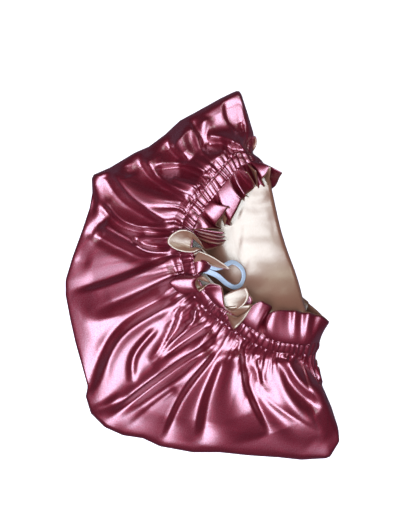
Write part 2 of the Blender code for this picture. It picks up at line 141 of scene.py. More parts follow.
MM = 0.001
BAND_WIDTH = 4.6
BAND_THICK = 1.3
BAND_TURN = 52.0  # degrees by which it stands on edge at the far end of the loop
BAND_RIBS = 5
BAND_RIB_DEPTH = 0.09
BAND_EDGE_DROP = 0.35  # the share by which it thins at its edges
BAND_CUTS = 8
KNIT_DARK, KNIT_PALE = (0.37, 0.54, 0.62), (0.62, 0.82, 0.82)
KNIT_SCALE, KNIT_STRENGTH, KNIT_DEPTH = 2200, 0.5, 0.0002
KNIT_ROUGHNESS, KNIT_SHEEN = 0.6, 0.3
# The same route as the solid's.
LOOP_ROUTE = (
    # x, y, z
    (-11, 13.6, 34.4),
    (-5, 13, 36.8),
    (3, 10.2, 37.2),
    (12, 6.2, 35),
    (19, 7.5, 31),
    (27, 11, 25.5),
    (33, 8.5, 22),
    (37, 3, 20.4),
    (37.2, -4, 20.2),
    (34, -9.5, 21),
    (29, -11, 22.8),
    (22, -7.5, 27),
    (14, -0.8, 32.5),
    (6, 2.8, 36),
    (-4, 5.2, 37),
    (-10.5, 6.8, 34.6),
)
ALMOST_NOTHING = 1e-9
TANGENT_LIMIT = 1.2  # a tangent's most, in lengths of the stretch on its knot's other side
SAME_POINT = 1e-7


def turned(points):
    """Unit vectors of an array of vectors."""
    return points / np.maximum(np.linalg.norm(points, axis=-1, keepdims=True), ALMOST_NOTHING)


def through(knots, cuts):
    """Smooth open curves through knots, which are points by section; each stretch is cut in so many."""
    steps = np.diff(knots, axis=1)
    spans = np.linalg.norm(steps, axis=2, keepdims=True)
    ways = steps / np.maximum(spans, ALMOST_NOTHING)
    tangents = np.concatenate([ways[:, :1], turned(ways[:, 1:] + ways[:, :-1]), ways[:, -1:]], axis=1)
    leaving = np.minimum(spans, TANGENT_LIMIT * np.concatenate([spans[:, :1], spans[:, :-1]], axis=1))
    coming = np.minimum(spans, TANGENT_LIMIT * np.concatenate([spans[:, 1:], spans[:, -1:]], axis=1))
    points = [knots[:, :1]]
    for i, count in enumerate(cuts):
        for share in np.arange(1, count + 1) / count:
            square, cube = share**2, share**3
            point = (
                knots[:, i] * (2 * cube - 3 * square + 1)
                + tangents[:, i] * leaving[:, i] * (cube - 2 * square + share)
                + knots[:, i + 1] * (3 * square - 2 * cube)
                + tangents[:, i + 1] * coming[:, i] * (cube - square)
            )
            points.append(point[:, None])
    return np.concatenate(points, axis=1)


def travelled(line):
    """How far along a line each of its points lies."""
    return np.concatenate([[0], np.cumsum(np.linalg.norm(np.diff(line, axis=0), axis=1))])


def smooth(share):
    """A share from 0 to 1 that starts and ends gently."""
    return share * share * (3 - 2 * share)


def grid_mesh(name, points, cloth):
    """A mesh wrapped round through points[station, row] in mm, with a UV map of the flat cloth in metres.

    The cloth has one station more than the points, because its last one is sewn to its first.
    """
    count, rows = points.shape[:2]
    sheet = bmesh.new()
    bmesh.ops.create_grid(sheet, x_segments=count, y_segments=rows - 1, size=1)
    places = {}
    for corner in sheet.verts:
        places[corner] = (round((corner.co.x + 1) / 2 * count), round((corner.co.y + 1) / 2 * (rows - 1)))
    uv = sheet.loops.layers.uv.new("cloth")
    for face in sheet.faces:
        for loop in face.loops:
            loop[uv].uv = cloth[places[loop.vert]]
    for corner, (i, j) in places.items():
        corner.co = points[i % count, j] * MM
    bmesh.ops.remove_doubles(sheet, verts=sheet.verts, dist=SAME_POINT)
    mesh = bpy.data.meshes.new(name)
    sheet.to_mesh(mesh)
    sheet.free()
    mesh.shade_smooth()
    return mesh


def closed_up(mesh):
    """Fills the open ends of a mesh and turns all its faces outwards."""
    shape = bmesh.new()
    shape.from_mesh(mesh)
    bmesh.ops.holes_fill(shape, edges=[edge for edge in shape.edges if edge.is_boundary])
    bmesh.ops.recalc_face_normals(shape, faces=shape.faces)
    shape.to_mesh(mesh)
    shape.free()
    return mesh


def add_piece(name, mesh, material):
    """Adds a mesh to the scene as a piece of the bonnet's one body."""
    piece = bpy.data.objects.new(name, mesh)
    mesh.materials.append(material)
    bpy.context.scene.collection.objects.link(piece)
    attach(piece, "root")
    return piece


MIDDLE_NOISE = (0.3, 0.7)  # nearly all of a noise lies between these
THREAD_STRETCH = (0.5, 1.0, 1.0)  # each thread shows twice as long as it is wide
THREAD_SCALE, THREAD_STRENGTH, THREAD_DEPTH = 1200, 0.25, 0.00012
CRUMPLE_DEPTH = 0.0012
BLOTCH_SCALE = 9
GRAIN = (0.45, 1.0)  # the least and most shine on a thread

thread_group = bpy.data.node_groups.new("satin_threads", "ShaderNodeTree")
thread_group.interface.new_socket("Cloth", in_out="INPUT", socket_type="NodeSocketVector")
for scale in ("Thread Scale", "Crumple Scale"):
    thread_group.interface.new_socket(scale, in_out="INPUT", socket_type="NodeSocketFloat")
for noise in ("Height", "Crumple", "Tone"):
    thread_group.interface.new_socket(noise, in_out="OUTPUT", socket_type="NodeSocketFloat")
inside = thread_group.nodes
group_in, group_out = inside.new("NodeGroupInput"), inside.new("NodeGroupOutput")
stretch = inside.new("ShaderNodeVectorMath")
stretch.operation = "MULTIPLY"
stretch.inputs[1].default_value = THREAD_STRETCH
floats = inside.new("ShaderNodeTexNoise")
crumple = inside.new("ShaderNodeTexNoise")
set_inputs(crumple, {"Detail": 3, "Distortion": 0.4})
blotch = inside.new("ShaderNodeTexNoise")
set_inputs(blotch, {"Scale": BLOTCH_SCALE})
for source, output, target, socket in (
    (group_in, "Cloth", stretch, 0),
    (stretch, "Vector", floats, "Vector"),
    (group_in, "Thread Scale", floats, "Scale"),
    (group_in, "Cloth", crumple, "Vector"),
    (group_in, "Crumple Scale", crumple, "Scale"),
    (group_in, "Cloth", blotch, "Vector"),
    (floats, "Fac", group_out, "Height"),
    (crumple, "Fac", group_out, "Crumple"),
    (blotch, "Fac", group_out, "Tone"),
):
    thread_group.links.new(source.outputs[output], target.inputs[socket])


def toned(nodes, links, noise, dark, pale):
    """Colours the shader from dark to pale by a noise."""
    tone = nodes.new("ShaderNodeValToRGB")
    for stop, place, colour in zip(tone.color_ramp.elements, MIDDLE_NOISE, (dark, pale)):
        stop.position, stop.color = place, (*colour, 1)
    links.new(noise, tone.inputs["Fac"])
    links.new(tone.outputs["Color"], nodes["Principled BSDF"].inputs["Base Color"])


def relief_of(nodes, links, noise, strength, depth):
    """A bump node over a noise."""
    bump = nodes.new("ShaderNodeBump")
    set_inputs(bump, {"Strength": strength, "Distance": depth})
    links.new(noise, bump.inputs["Height"])
    return bump


def threads_on_cloth(nodes, links, thread_scale):
    """The threads and crumples, laid along the flat cloth."""
    cloth = nodes.new("ShaderNodeUVMap")
    cloth.uv_map = "cloth"
    threads = nodes.new("ShaderNodeGroup")
    threads.node_tree = thread_group
    set_inputs(threads, {"Thread Scale": thread_scale})
    links.new(cloth.outputs["UV"], threads.inputs["Cloth"])
    return threads


def satin(name, shade, light, surface, crumples, crumple):
    """A satin: a broad glow in the colour of its threads, a whiter shine over it, crumples and a weave."""
    material, nodes, links, shader = new_material(name)
    threads = threads_on_cloth(nodes, links, THREAD_SCALE)
    set_inputs(threads, {"Crumple Scale": crumples})
    toned(nodes, links, threads.outputs["Tone"], shade, light)
    creases = relief_of(nodes, links, threads.outputs["Crumple"], crumple, CRUMPLE_DEPTH)
    weave = relief_of(nodes, links, threads.outputs["Height"], THREAD_STRENGTH, THREAD_DEPTH)
    links.new(creases.outputs["Normal"], weave.inputs["Normal"])
    links.new(weave.outputs["Normal"], shader.inputs["Normal"])
    grain = nodes.new("ShaderNodeMapRange")
    set_inputs(grain, dict(zip(("From Min", "From Max", "To Min", "To Max"), MIDDLE_NOISE + GRAIN)))
    links.new(threads.outputs["Height"], grain.inputs["Value"])
    links.new(grain.outputs["Result"], shader.inputs["Coat Weight"])
    set_inputs(shader, surface)
    return material


band_path = through(np.array([LOOP_ROUTE], float), [BAND_CUTS] * (len(LOOP_ROUTE) - 1))[0]
band_along = turned(np.gradient(band_path, axis=0))
band_across = turned(np.cross(band_along, [0.0, 0.0, 1.0]))
band_up = np.cross(band_across, band_along)
on_edge = math.radians(BAND_TURN) * np.sin(np.linspace(0, math.pi, len(band_path)))[:, None] ** 2
band_across, band_up = (
    band_across * np.cos(on_edge) + band_up * np.sin(on_edge),
    band_up * np.cos(on_edge) - band_across * np.sin(on_edge),
)
edge_to_edge = np.linspace(-1, 1, 4 * BAND_RIBS + 1)
band_ribs = 2 * BAND_RIB_DEPTH * np.cos(math.pi * BAND_RIBS * (edge_to_edge + 1))
face_profile = list(zip(edge_to_edge, 1 - BAND_EDGE_DROP * edge_to_edge**6 + band_ribs))
band_profile = face_profile + [(u, -v) for u, v in reversed(face_profile)]
band_rings = np.stack(
    [band_path + band_across * 0.5 * BAND_WIDTH * u + band_up * 0.5 * BAND_THICK * v for u, v in band_profile]
)
band_run = travelled(band_path) * MM
band_cloth = np.zeros((len(band_profile) + 1, len(band_path), 2))
band_cloth[..., 0] = band_run[None, :]
band_cloth[..., 1] = np.linspace(0, 2 * BAND_WIDTH * MM, len(band_profile) + 1)[:, None]

knit, knit_nodes, knit_links, knit_shader = new_material("blue_elastic")
knit_threads = threads_on_cloth(knit_nodes, knit_links, KNIT_SCALE)
toned(knit_nodes, knit_links, knit_threads.outputs["Height"], KNIT_DARK, KNIT_PALE)
knit_relief = relief_of(knit_nodes, knit_links, knit_threads.outputs["Height"], KNIT_STRENGTH, KNIT_DEPTH)
knit_links.new(knit_relief.outputs["Normal"], knit_shader.inputs["Normal"])
set_inputs(knit_shader, {"Roughness": KNIT_ROUGHNESS, "Sheen Weight": KNIT_SHEEN})

band_mesh = closed_up(grid_mesh("blue_band", band_rings, band_cloth))
blue_band = add_piece("blue_band", band_mesh, knit)
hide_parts("elastic_loop")


# --------------------
# Crown face.
# The rose satin outside of the bag: a round piece of cloth gathered to the casing by its edge, puffed on the
# side that shows and folded back over the rim on the far side. The folds are laid on it one by one, and
# fine gathers run out from the casing.
# --------------------

CENTRE = np.array([-2.0, 8.0, 0.0])
UP, IN_PLAN = np.array([0.0, 0.0, 1.0]), np.array([1, 1, 0])
SEAM_TUCK = 1.0  # how far it runs in under the casing
CLOTH_THICK = 0.35
PUFF_SHARE = 0.72  # the empty bag's height as a share of that of the solid, which is stuffed full
SHOULDER = 0.45  # how high the shoulder stands, from the edge fold, 0, to the puff, 1
SHOULDER_IN, PUFF_IN = 0.22, 0.52  # where the two stand, from the edge, 0, to the rim, 1
LEAD_IN, LEAD_SHARE = 9.0, 0.28  # the cloth runs straight to the rim for this far, or this share if shorter
SHORT_SPAN = 40  # a section shorter than this in plan is one plain bend from its edge to the rim
STACK_BACK, STACK_PANEL = 8.7, 12.0  # heights of the tucked side's layers: under the panel, and the panel
FOLD_ROUND = 1.8
FOLD_STARTS, FOLD_GROWS = 11, 14  # the depth at which a tuck starts to fold under, and takes to do so
# Where there is no tuck, the panel falls to the rim: the way that is left to it, and the share fallen.
UNFOLDED = ((12, 0.0), (10, 0.1), (8, 0.32), (6, 0.6), (4, 0.85), (2, 0.97))
TUCK_CLEARED, TUCK_EASE = 12, 10  # how far before the tucked rim the layer is raised over it, how gently
# The sections of the side that shows, on from the mouth's upper corner: the edge, how far in it bends over,
# the rim and the way the casing leaves it, the height between them, and the height of the edge.
VISIBLE = (
    # edge_x, edge_y, bend, rim_x, rim_y, rim_z, heading, tilt, puff, edge_high
    (49, 118, 2.5, 46.5, 107.5, 14, -42, 12, 13, 11),
    (46.5, 130, 2.5, 42, 109, 22, -48, 20, 20, 13),
    (33, 164, 3, 36, 110, 27, -62, 10, 23, 14),
    (3, 151, 5, 25, 104, 31, -60, 2, 25, 15),
    (-19, 138, 6, 15, 93, 33, -50, 0, 27, 15),
    (-46, 115, 7, 6, 82, 34, -49, 0, 29, 15),
    (-75, 100, 6, -3, 71, 35, -50, 0, 31, 14),
    (-98, 90, 2.5, -11, 60, 36, -46, 5, 36, 11),
    (-99, 63, 0.8, -17, 48, 36, -36, 12, 34, 7),
    (-109, 34, 0.8, -19, 36, 36, -14, 18, 30, 7),
    (-118, 9, 0.8, -20, 23, 36, 0, 24, 30, 7),
    (-122, -14, 0.8, -18, 10, 36, 12, 26, 33, 7),
    (-116, -50, 0.8, -15, -3, 36, 20, 28, 33, 7),
    (-106, -89, 1, -9, -15, 35, 32, 30, 31, 7),
    (-103, -113, 1.5, -1, -26, 35, 42, 30, 30, 8),
    (-87, -137, 3, 9, -36, 34, 52, 30, 30, 8),
    (-53, -147, 4, 22, -45, 33, 56, 28, 31, 8),
    (-19, -158, 5, 36, -55, 32, 58, 28, 32, 9),
    (17, -161, 5, 49, -63, 30, 62, 28, 32, 9),
    (54, -163, 5, 63, -69, 28, 72, 28, 33, 9),
    (89, -166, 4, 78, -71, 26, 82, 30, 31, 9),
    (115, -164, 2, 88, -72, 23, 84, 34, 26, 8),
    (124, -146, 1, 95, -72, 21, 80, 32, 21, 7),
    (111, -104, 1.5, 99.5, -71.5, 18, 76, 24, 15, 8),
    (104.5, -83, 2.5, 102.5, -71, 12.5, 74, 12, 13, 10),
)
# The sections of the side flopped over its own rim, on from the mouth's lower corner.
FLOPPED = (
    # fold_x, fold_y, tuck, rim_x, rim_y, rim_z, heading, tilt, stack
    (101, -72, 4, 101, -69.5, 6, 74, 4, 0.35),
    (97, -60, 4, 95.5, -67, 2.5, 74, 0, 0.8),
    (95, -49, 5, 87, -62.5, 1.5, 74, 0, 1.0),
    (92, -36, 5, 78, -57, 1.3, 68, 0, 1.0),
    (89, -22, 6, 65, -48, 1.3, 55, 0, 1.0),
    (86, -9, 8, 54, -33, 1.3, 40, 0, 1.0),
    (82, 4, 9, 45, -14, 1.3, 26, 0, 1.0),
    (76, 20, 10, 36, 11, 1.3, 14, 0, 1.0),
    (70, 39, 11, 29, 36, 1.3, 3, 0, 1.0),
    (65.5, 58, 10, 26, 58, 1.3, -8, 0, 1.0),
    (62, 74, 8, 27, 78, 1.3, -22, 0, 1.0),
    (59, 86, 6, 33, 93, 1.3, -36, 0, 1.0),
    (55, 95, 4, 39, 100, 1.5, -40, 0, 1.0),
    (51, 104, 4, 44, 104, 2.5, -42, 0, 0.8),
    (49, 110, 4, 47.5, 106, 7, -42, 4, 0.35),
)
# Where the lower layer passes the mouth's corners on its way from the centre.
DETOURS = {
    # section: (x, y)
    20: (37, -82),
    21: (43, -79),
    22: (48, -76),
    23: (52.5, -73.5),
    24: (56.5, -71),
    25: (60, -68),
    26: (64.5, -63.5),
    38: (18, 86.5),
    39: (11.5, 91),
    0: (7, 91.5),
    1: (3, 91),
    2: (-1.5, 90),
    3: (-6, 88),
}
# The folds of the cloth, each a line in plan through three points. Where drop is above or below 0, the cloth
# falls by the height to the line's left or right within that width, with gentle slopes of the reach beyond.
# Where it is 0, the line is a ridge of that reach, or a hollow if height is below 0. widening says how many
# times as wide it ends.
CREASES = (
    # start_x, start_y, mid_x, mid_y, end_x, end_y, drop, reach, widening, height
    (17, 156, 21, 138, 40, 113, 3, 8, 0.8, 3.0),
    (36, 136, 36, 132, 37, 127, 0, 2.5, 1.0, -3.5),
    (5, 124, 19, 123, 39, 113, -9, 6, 0.7, 9.0),
    (3, 142, -1, 119, 12, 100, 0, 7, 0.8, 4.0),
    (-14, 138, -5, 123, 1, 106, 5, 7, 0.8, 6.0),
    (-20, 138, -14, 114, 5, 91, 0, 7, 0.9, 5.0),
    (-28, 133, -21, 114, -10, 103, -8, 8, 0.8, 10.0),
    (-41, 99, -15, 99, 8, 90, -5, 9, 0.8, 7.0),
    (-28, 88, -10, 81, 5, 76, 0, 3.5, 1.0, 3.0),
    (-53, 113, -40, 90, -8, 69, -9, 8, 0.7, 9.0),
    (-67, 98, -66, 93, -64, 87, 0, 4.5, 1.0, -2.5),
    (-80, 95, -63, 71, -28, 46, -11, 12, 0.7, 11.0),
    (-97, 85, -92, 66, -93, 52, -5, 6, 1.2, 6.0),
    (-88, 67, -68, 47, -25, 39, -5, 5, 1.0, 8.0),
    (-51, 41, -40, 38, -24, 36, 0, 2, 1.0, -3.5),
    (-53, 37, -40, 33, -24, 34, 0, 2.6, 1.0, 3.0),
    (-61, 32, -48, 26, -28, 24, 0, 2.2, 1.0, -6.5),
    (-61, 27, -50, 21, -28, 19, 0, 3, 1.0, 4.0),
    (-89, 46, -70, 35, -42, 22, -13, 6, 0.9, 10.0),
    (-86, 50, -95, 43, -103, 32, 0, 3, 1.0, -4.5),
    (-113, 14, -107, 12, -101, 10, 0, 7, 1.0, -2.0),
    (-26, 14, -70, -5, -117, -21, -5, 9, 1.4, 6.0),
    (-22, 3, -56, -14, -105, -34, 12, 9, 1.2, 10.0),
    (-26, -26, -72, -58, -97, -117, -9, 6, 1.2, 9.0),
    (-40, -47, -60, -73, -62, -97, 0, 3.5, 1.0, 3.5),
    (-74, -111, -86, -118, -98, -122, 0, 4, 1.0, 4.5),
    (-20, -27, -28, -50, -45, -77, 3.5, 5, 1.0, 5.0),
    (-5, -29, -8, -42, -17, -46, 0, 2.5, 1.0, 4.5),
    (0, -42, -22, -56, -41, -75, 0, 3, 1.2, 4.0),
    (4, -46, -17, -61, -34, -73, 0, 2, 1.2, -3.0),
    (10, -49, -14, -64, -43, -81, 0, 5, 1.6, 4.0),
    (12, -54, -36, -86, -91, -128, 7, 7, 1.1, 10.0),
    (8, -62, -28, -99, -77, -136, 0, 6, 1.8, 5.0),
    (-22, -101, -46, -119, -66, -137, 0, 4, 1.5, -3.0),
    (11, -66, -20, -106, -41, -151, 6, 9, 1.2, 7.0),
    (14, -70, -2, -110, -10, -150, 9, 13, 1.3, 8.0),
    (27, -66, 27, -105, 40, -148, 0, 10, 1.8, 4.0),
    (34, -66, 37, -98, 56, -144, 4, 11, 1.9, 8.5),
    (46, -72, 58, -112, 97, -152, 0, 5, 2.2, 4.0),
    (50, -74, 53, -88, 60, -105, 0, 3, 1.2, -4.0),
    (43, -84, 60, -112, 106, -142, 0, 2.5, 1.8, -2.5),
    (66, -68, 80, -112, 113, -147, 0, 5, 2.0, 4.0),
    (73, -70, 88, -94, 112, -112, -8, 5, 1.5, 8.0),
    (86, -74, 97, -85, 105, -99, 0, 3.5, 1.0, -4.5),
)
# The soft ridges across the flopped panel, in the same order of numbers.
PANEL_WAVES = (
    (34, 55, 50, 52, 66, 57, 0, 7, 1.0, 1.1),
    (36, 40, 48, 42, 64, 40, 0, 5, 1.0, 0.7),
    (38, 70, 50, 68, 60, 72, 0, 5, 1.0, 0.9),
    (34, 29, 52, 27, 72, 29, 0, 9, 1.0, 1.2),
    (40, 10, 58, 5, 78, 8, 0, 9, 1.0, 0.9),
    (38, -14, 60, -9, 84, -13, 0, 9, 1.0, 0.9),
)
RIDGE_ROUNDNESS, HOLLOW_ROUNDNESS = 2.0, 1.2
FOLD_LINE_CUTS, OUTLINE_CUTS = 14, 40
FADES_IN, FADES_OUT = 0.12, 0.25  # the shares of its line over which a fold comes up and dies away
# The bonnet's outline on the table, from the mouth's upper corner round to its lower one.
OUTLINE = (
    (48.6, 109.4), (46.4, 127.4), (41, 145.4), (35.5, 162), (32.9, 165.2), (28, 163.5), (16.7, 158),
    (-5.9, 145.4), (-19.4, 138.2), (-32.9, 125.6), (-47.3, 114.8), (-59.9, 109.4), (-82.4, 95.9),
    (-96.8, 89.6), (-98.6, 86), (-98, 73.4), (-100.4, 59.9), (-107, 40), (-116.1, 14.9), (-122, -5),
    (-122, -18.5), (-117.5, -41.9), (-113, -61.7), (-106.7, -84.2), (-102.2, -100.4),
    (-104, -109.4), (-99.5, -124.7), (-86.9, -137.3), (-70.7, -144.5), (-52.7, -147.2),
    (-37.4, -154.4), (-7.7, -159.8), (16.7, -159.8), (41.9, -162.5), (68.9, -164.3), (89.6, -166.5),
    (112.1, -165.2), (115.5, -163.5), (123.8, -149.9), (122.9, -138.2), (116.6, -118.4),
    (107.6, -97.7), (105.8, -86.9), (100.4, -73.4),
)
OUTLINE_REACH = 16.0  # how far from the edge the cloth is drawn along with it
# The panel rises below start_y, and comes back down beside the lower ruffle. It rises a little towards its
# upper end too. Nothing rises left of PANEL_LEFT_X.
PANEL_LOW = {"rise": 22.0, "start_y": 12, "reach": 50, "back_y": -48, "back_reach": 14}
PANEL_HIGH = {"rise": 5.0, "start_y": 30, "reach": 55}
PANEL_LEFT_X, PANEL_LEFT_REACH = -20, 35
WAVES_LEFT_X, WAVES_LEFT_REACH = 15, 10
# Two sizes of gather, which start at the casing. Each leans, strays and varies by shares of its size.
GATHERS = (
    # pitch, reach, height, seed
    (5.2, 13, 2.2, 10),
    (11.0, 30, 2.7, 20),
)
GATHER_LEAN, GATHER_STRAY, GATHER_SIZE, GATHER_VARIES = 0.35, 0.6, 0.75, 0.45
GATHER_BASE, CREST_ROUNDNESS = 0.62, 0.8
TURN = len(VISIBLE) - 1
WHOLE = len(VISIBLE) + len(FLOPPED)
UNDERSIDE_STRETCHES = 3  # a section's first stretches, from the centre of the cloth to its edge
FACE_CUTS = (5, 12, 3, 4, 8, 20, 18, 14)
NEAR_STATIONS = 360
FAR_STATIONS = 80
EDGE_SAY = 0.6  # how much the outer edge counts, beside the rim, in spacing the stations
RELIEF_STARTS, RELIEF_ENDS = 0.8, 24.2  # the sections between which the cloth on top has its folds
DRAWN_OUT_FROM, DRAWN_OUT_TO = 0.6, TURN - 0.8
LEAST_HEIGHT = 5.0  # the upper layer sinks no lower than this
RING_TENSION = 0.45
RIM_STEP = 0.05


def on_ring(rows, at):
    """A closed smooth curve through one row per section, read at section numbers."""
    rows, at = np.asarray(rows, float), np.asarray(at, float)
    first = np.floor(at).astype(int)
    share = (at - first).reshape(-1, *([1] * (rows.ndim - 1)))
    a, b, c, d = (rows[(first + step) % len(rows)] for step in (-1, 0, 1, 2))
    into, out = RING_TENSION * (c - a), RING_TENSION * (d - b)
    square, cube = share**2, share**3
    return (
        b * (2 * cube - 3 * square + 1)
        + into * (cube - 2 * square + share)
        + c * (3 * square - 2 * cube)
        + out * (cube - square)
    )


rim_rows = np.array([row[3:6] for row in VISIBLE + FLOPPED], float)
heading, tilt = np.radians([row[6:8] for row in VISIBLE + FLOPPED]).T
way_rows = np.stack([np.cos(heading) * np.cos(tilt), np.sin(heading) * np.cos(tilt), np.sin(tilt)], axis=1)


def cuff_frame(at):
    """Rim points, the way the casing leaves the crown there, and the way its face looks."""
    at = np.asarray(at, float)
    rim, way = on_ring(rim_rows, at), turned(on_ring(way_rows, at))
    along = on_ring(rim_rows, at + RIM_STEP) - on_ring(rim_rows, at - RIM_STEP)
    return rim, way, turned(np.cross(along, way))


def bent(ends_and_bends, share):
    """A point on the smooth bend from the first of four points to the last."""
    start, leave, arrive, end = ends_and_bends
    rest = 1 - share
    return sum((rest**3 * start, 3 * share * rest**2 * leave, 3 * share**2 * rest * arrive, share**3 * end))


def visible_knots(row, way, detour):
    """One section of the side that shows: along the table, round the edge fold, over the top to the rim."""
    edge_x, edge_y, edge_bend, rim_x, rim_y, rim_z, _, _, puff, edge_high = row
    edge = np.array([edge_x, edge_y, 0.0])
    rim = np.array([rim_x, rim_y, rim_z], float) + way * SEAM_TUCK
    middle_under = np.array([*detour, 0.0]) if detour else CENTRE + (edge - CENTRE) * 0.5
    outwards, back = turned(edge - middle_under), turned((rim - edge) * IN_PLAN)
    span = np.linalg.norm((rim - edge)[:2])
    roll, puff = 0.5 * edge_high, PUFF_SHARE * puff
    start = edge + UP * roll
    if span < SHORT_SPAN:
        reach = np.linalg.norm(rim - start)
        bends = (start, start + UP * min(0.6 * reach, 1.6 * roll), rim - way * 0.45 * reach, rim)
        over = [bent(bends, share) for share in (0.2, 0.4, 0.6, 0.8)]
    else:
        over = [
            edge + back * edge_bend + UP * edge_high,
            edge + back * SHOULDER_IN * span + UP * (2 * roll + SHOULDER * (puff - 2 * roll)),
            edge + back * PUFF_IN * span + UP * puff,
            rim - way * min(LEAD_IN, LEAD_SHARE * span),
        ]
    return [CENTRE, middle_under, edge - outwards * 1.3 * roll, start, *over, rim]


def flopped_knots(row, way, detour):
    """One section of the far side: up on to the panel, round its fold, back under it and out to the rim."""
    fold_x, fold_y, tuck, rim_x, rim_y, rim_z, _, _, stack = row
    fold = np.array([fold_x, fold_y, 0.0])
    rim = np.array([rim_x, rim_y, rim_z], float) + way * SEAM_TUCK
    flat_rim, flat_way = rim * IN_PLAN, turned(way * IN_PLAN)
    panel, back = STACK_PANEL * stack, STACK_BACK * stack
    turn = flat_rim - flat_way * (tuck + SEAM_TUCK)
    over = turn + flat_way * 0.5 * (back - rim_z)
    depth = np.linalg.norm(over - fold)
    inwards = turned(over - fold)
    folded = [
        fold + inwards * FOLD_ROUND + UP * panel,
        fold + UP * 0.5 * (panel + back),
        fold + inwards * FOLD_ROUND + UP * back,
        over + UP * back,
        turn + UP * 0.5 * (back + rim_z),
        over + UP * rim_z,
    ]
    onto = turned(0.2 * flat_way + 0.8 * turned(flat_rim - np.array([*detour, 0.0]))) if detour else flat_way
    sloped = [
        flat_rim - flat_way * min(far, 3) - onto * max(far - 3, 0) + UP * (panel + (rim_z - panel) * fallen)
        for far, fallen in UNFOLDED
    ]
    share = smooth(min(1.0, max(0.0, (depth - FOLD_STARTS) / FOLD_GROWS)))
    knots = [slope + (fold_knot - slope) * share for slope, fold_knot in zip(sloped, folded)]
    if detour:
        under = np.array([*detour, 0.0])
    else:
        under = CENTRE + (knots[0] * IN_PLAN - CENTRE) * 0.45 + UP * panel
    return [CENTRE, under, *knots, rim]


def from_line(spots, line):
    """For each spot, the number of a line's nearest point and the way from that point to the spot."""
    offsets = spots[..., None, :] - line
    nearest = np.argmin((offsets**2).sum(axis=-1), axis=-1)
    return nearest, np.take_along_axis(offsets, nearest[..., None, None], axis=-2)[..., 0, :]


def raised(points):
    """How high the lower layer must stand to clear the tucked rim beneath it."""
    plain = (0, 0, 3, 0, 0, 0, 0, 0, 0)  # no stack, and a tuck of 3
    rows = np.array([plain, *FLOPPED, plain], float)
    fine = np.linspace(TURN, WHOLE, 300)
    rim, way, _ = cuff_frame(fine % WHOLE)
    way = turned(way * IN_PLAN)
    tuck, stack = (np.interp(fine, np.arange(TURN, WHOLE + 1), rows[:, column]) for column in (2, 8))
    line = (rim - way * tuck[:, None])[:, :2]
    nearest, offset = from_line(points[..., :2], line)
    past_line = (offset * way[nearest][..., :2]).sum(axis=-1)
    return STACK_PANEL * stack[nearest] * smooth(np.clip((past_line + TUCK_CLEARED) / TUCK_EASE, 0, 1))


WANDER_COUNT = 4096


def wander(seed, places):
    """Smooth noise with one value to each whole number, from -1 to 1."""
    values = np.random.default_rng(seed).uniform(-1, 1, WANDER_COUNT)
    first = np.floor(places).astype(int)
    share = smooth(places - first)
    return values[first % WANDER_COUNT] * (1 - share) + values[(first + 1) % WANDER_COUNT] * share


def rim_travel(at):
    """Millimetres along the rim from section 0, at section numbers."""
    fine = np.linspace(0, WHOLE, 1601)
    return np.interp(at, fine, travelled(on_ring(rim_rows, fine)))


def crests(places, base):
    """A round crest at every whole number with sharp hollows between, from -base up to 1 - base."""
    return np.abs(np.cos(math.pi * places)) ** CREST_ROUNDNESS - base


def gathers(travel, distance, pitch, reach, height, seed):
    """Gathers that wander and fade away from the rim."""
    lean = GATHER_LEAN * wander(seed + 1, travel / (3 * pitch)) * np.clip(distance / reach, 0, 2)
    places = travel / pitch + lean + GATHER_STRAY * wander(seed + 2, travel / (2.3 * pitch))
    own = np.round(places)
    size = GATHER_SIZE + GATHER_VARIES * wander(seed + 3, own)
    fade = np.exp(-((distance / (reach * (1 + 0.5 * wander(seed + 4, own)))) ** 1.4))
    return height * size * crests(places, GATHER_BASE) * fade


def laid_folds(points, weight, folds):
    """Raises and lowers points by the folds, each by its own share of the weight."""
    moved = points.copy()
    for *knots, drop, reach, widening, height in folds:
        line = through(np.reshape(knots, (1, 3, 2)).astype(float), [FOLD_LINE_CUTS] * 2)[0]
        step = np.linalg.norm(np.diff(line, axis=0), axis=1).mean()
        onward = turned(np.gradient(line, axis=0))
        leftwards = onward @ np.array([[0.0, 1.0], [-1.0, 0.0]])
        nearest, offset = from_line(points[..., :2], line)
        ahead = (offset * onward[nearest]).sum(axis=-1)
        aside = (offset * leftwards[nearest]).sum(axis=-1)
        last = len(line) - 1
        share = np.clip(nearest / last + np.clip(ahead, -step, step) / (step * last), 0, 1)
        grown = 1 + (widening - 1) * share
        beyond = np.maximum(np.abs(ahead) - 0.6 * step, 0) / (reach * grown)
        if drop:
            fall = np.sign(drop) * aside / (abs(drop) * grown)
            past = np.where(fall < 0, -fall, np.maximum(fall - 1, 0)) * abs(drop) / reach
            shape = (0.5 - smooth(np.clip(fall, 0, 1))) * np.exp(-(past**1.6) - beyond**2)
        else:
            away = np.hypot(aside / (reach * grown), beyond)
            shape = np.exp(-(away ** (RIDGE_ROUNDNESS if height > 0 else HOLLOW_ROUNDNESS)))
        fade = np.clip(share / FADES_IN + 0.25, 0, 1) * np.clip((1 - share) / FADES_OUT, 0, 1) ** 0.7
        moved[..., 2] += height * fade * shape * weight
    return moved


def drawn_out(points, edge_row, inset):
    """Draws the edge fold of each station out to the true outline, and what lies near it along with it."""
    outline = np.array(OUTLINE, float)
    outline = outline - turned(outline - CENTRE[:2]) * inset
    line = np.linspace(outline[:-1], outline[1:], OUTLINE_CUTS, endpoint=False, axis=1).reshape(-1, 2)
    edge = points[:, edge_row, :2]
    _, outside = from_line(edge, line)
    away = np.linalg.norm(points[..., :2] - edge[:, None], axis=-1)
    return -outside[:, None] * np.exp(-((away / OUTLINE_REACH) ** 2))[..., None]


